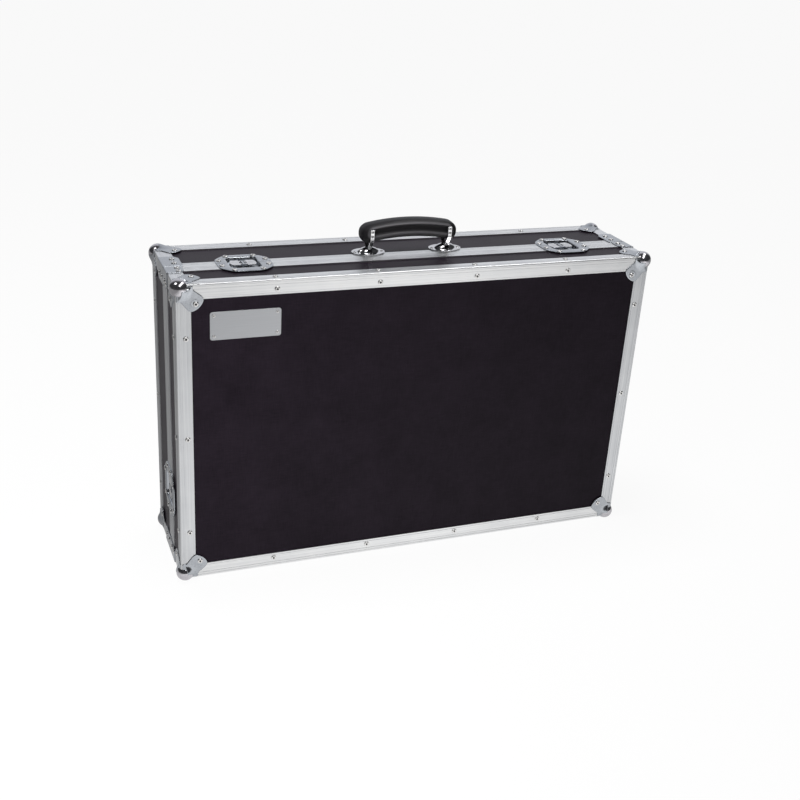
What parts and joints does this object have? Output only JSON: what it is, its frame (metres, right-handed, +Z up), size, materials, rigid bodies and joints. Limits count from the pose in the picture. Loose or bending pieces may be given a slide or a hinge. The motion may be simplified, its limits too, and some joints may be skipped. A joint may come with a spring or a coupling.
{
  "type": "flight case",
  "caption": "Black riveted flight case for a mixing controller, with aluminium edges, ball corners, butterfly latches, a swinging handle and a lift-off lid.",
  "frame": {"origin": "under the middle of the case, level with the lowest point of the ball corners it stands on", "axes": "+X along the long side, to the right when facing the lid; +Y from the lid to the back; +Z up"},
  "size_m": [0.745, 0.1898, 0.5175],
  "materials": {
    "laminate": "black phenolic film on plywood, fine texture",
    "aluminium": "mill finish, lengthwise grooves",
    "zinc_steel": "bright zinc plate",
    "rivets": "nickel plate",
    "chrome": "polished",
    "grip": "black stitched leather-look cover",
    "nameplate": "satin, bare",
    "foam": "matt closed-cell foam"
  },
  "bodies": {
    "base": {"base_back_board": "laminate", "base_top_board": "laminate", "base_bottom_board": "laminate", "base_left_board": "laminate", "base_right_board": "laminate", "base_edge_angles_long": "aluminium", "base_closing_frame_long": "aluminium", "base_edge_angles_short": "aluminium", "base_closing_frame_short": "aluminium", "base_depth_angles": "aluminium", "base_corner_brackets": "zinc_steel", "base_ball_corners": "zinc_steel", "base_rivets": "rivets", "base_foam_bed": "foam", "base_foam_walls": "foam", "handle_plates": "chrome", "handle_pins": "chrome", "top_left_latch_dish": "zinc_steel", "top_right_latch_dish": "zinc_steel", "left_latch_dish": "zinc_steel", "right_latch_dish": "zinc_steel"},
    "lid": {"lid_front_board": "laminate", "lid_top_board": "laminate", "lid_bottom_board": "laminate", "lid_left_board": "laminate", "lid_right_board": "laminate", "lid_edge_angles_long": "aluminium", "lid_closing_frame_long": "aluminium", "lid_edge_angles_short": "aluminium", "lid_closing_frame_short": "aluminium", "lid_depth_angles": "aluminium", "lid_corner_brackets": "zinc_steel", "lid_ball_corners": "zinc_steel", "lid_rivets": "rivets", "lid_foam_pad": "foam", "nameplate": "nameplate", "top_left_latch_keeper": "zinc_steel", "top_right_latch_keeper": "zinc_steel", "left_latch_keeper": "zinc_steel", "right_latch_keeper": "zinc_steel"},
    "handle": {"handle_grip": "grip", "handle_straps": "chrome", "handle_strap_rivets": "chrome"},
    "top_left_rotor": {"top_left_latch_rotor": "zinc_steel"},
    "top_left_hook": {"top_left_latch_hook": "zinc_steel"},
    "top_left_wing_a": {"top_left_latch_wing_a": "zinc_steel"},
    "top_left_wing_b": {"top_left_latch_wing_b": "zinc_steel"},
    "top_right_rotor": {"top_right_latch_rotor": "zinc_steel"},
    "top_right_hook": {"top_right_latch_hook": "zinc_steel"},
    "top_right_wing_a": {"top_right_latch_wing_a": "zinc_steel"},
    "top_right_wing_b": {"top_right_latch_wing_b": "zinc_steel"},
    "left_rotor": {"left_latch_rotor": "zinc_steel"},
    "left_hook": {"left_latch_hook": "zinc_steel"},
    "left_wing_a": {"left_latch_wing_a": "zinc_steel"},
    "left_wing_b": {"left_latch_wing_b": "zinc_steel"},
    "right_rotor": {"right_latch_rotor": "zinc_steel"},
    "right_hook": {"right_latch_hook": "zinc_steel"},
    "right_wing_a": {"right_latch_wing_a": "zinc_steel"},
    "right_wing_b": {"right_latch_wing_b": "zinc_steel"}
  },
  "joints": [
    {"name": "lid_lift_off", "type": "slide", "parent": "base", "child": "lid", "axis": [0, -1, 0], "range_m": [0, 0.15]},
    {"name": "handle_swing", "type": "hinge", "parent": "base", "child": "handle", "pos_m": [0, 0.0065, 0.4717], "axis": [1, 0, 0], "range_deg": [-50, 50]},
    {"name": "top_left_latch_turn", "type": "hinge", "parent": "base", "child": "top_left_rotor", "pos_m": [-0.2535, -0.006, 0.4665], "axis": [0, 0, 1], "range_deg": [0, 180]},
    {"name": "top_left_hook_slide", "type": "slide", "parent": "base", "child": "top_left_hook", "axis": [0, -1, 0], "range_m": [0, 0.0072]},
    {"name": "top_left_wing_a_fold", "type": "hinge", "parent": "top_left_rotor", "child": "top_left_wing_a", "pos_m": [-0.2501, -0.006, 0.4647], "axis": [0, -1, 0], "range_deg": [0, 90]},
    {"name": "top_left_wing_b_fold", "type": "hinge", "parent": "top_left_rotor", "child": "top_left_wing_b", "pos_m": [-0.2569, -0.006, 0.4647], "axis": [0, 1, 0], "range_deg": [0, 90]},
    {"name": "top_right_latch_turn", "type": "hinge", "parent": "base", "child": "top_right_rotor", "pos_m": [0.2535, -0.006, 0.4665], "axis": [0, 0, 1], "range_deg": [0, 180]},
    {"name": "top_right_hook_slide", "type": "slide", "parent": "base", "child": "top_right_hook", "axis": [0, -1, 0], "range_m": [0, 0.0072]},
    {"name": "top_right_wing_a_fold", "type": "hinge", "parent": "top_right_rotor", "child": "top_right_wing_a", "pos_m": [0.2569, -0.006, 0.4647], "axis": [0, -1, 0], "range_deg": [0, 90]},
    {"name": "top_right_wing_b_fold", "type": "hinge", "parent": "top_right_rotor", "child": "top_right_wing_b", "pos_m": [0.2501, -0.006, 0.4647], "axis": [0, 1, 0], "range_deg": [0, 90]},
    {"name": "left_latch_turn", "type": "hinge", "parent": "base", "child": "left_rotor", "pos_m": [-0.366, -0.006, 0.1195], "axis": [-1, 0, 0], "range_deg": [0, 180]},
    {"name": "left_hook_slide", "type": "slide", "parent": "base", "child": "left_hook", "axis": [0, -1, 0], "range_m": [0, 0.0072]},
    {"name": "left_wing_a_fold", "type": "hinge", "parent": "left_rotor", "child": "left_wing_a", "pos_m": [-0.3642, -0.006, 0.1229], "axis": [0, -1, 0], "range_deg": [0, 90]},
    {"name": "left_wing_b_fold", "type": "hinge", "parent": "left_rotor", "child": "left_wing_b", "pos_m": [-0.3642, -0.006, 0.1161], "axis": [0, 1, 0], "range_deg": [0, 90]},
    {"name": "right_latch_turn", "type": "hinge", "parent": "base", "child": "right_rotor", "pos_m": [0.366, -0.006, 0.1195], "axis": [1, 0, 0], "range_deg": [0, 180]},
    {"name": "right_hook_slide", "type": "slide", "parent": "base", "child": "right_hook", "axis": [0, -1, 0], "range_m": [0, 0.0072]},
    {"name": "right_wing_a_fold", "type": "hinge", "parent": "right_rotor", "child": "right_wing_a", "pos_m": [0.3642, -0.006, 0.1161], "axis": [0, -1, 0], "range_deg": [0, 90]},
    {"name": "right_wing_b_fold", "type": "hinge", "parent": "right_rotor", "child": "right_wing_b", "pos_m": [0.3642, -0.006, 0.1229], "axis": [0, 1, 0], "range_deg": [0, 90]}
  ],
  "couplings": [
    {"joint": "top_left_hook_slide", "follows": "top_left_latch_turn", "m_per_rad": 0.0022918},
    {"joint": "top_right_hook_slide", "follows": "top_right_latch_turn", "m_per_rad": 0.0022918},
    {"joint": "left_hook_slide", "follows": "left_latch_turn", "m_per_rad": 0.0022918},
    {"joint": "right_hook_slide", "follows": "right_latch_turn", "m_per_rad": 0.0022918}
  ]
}
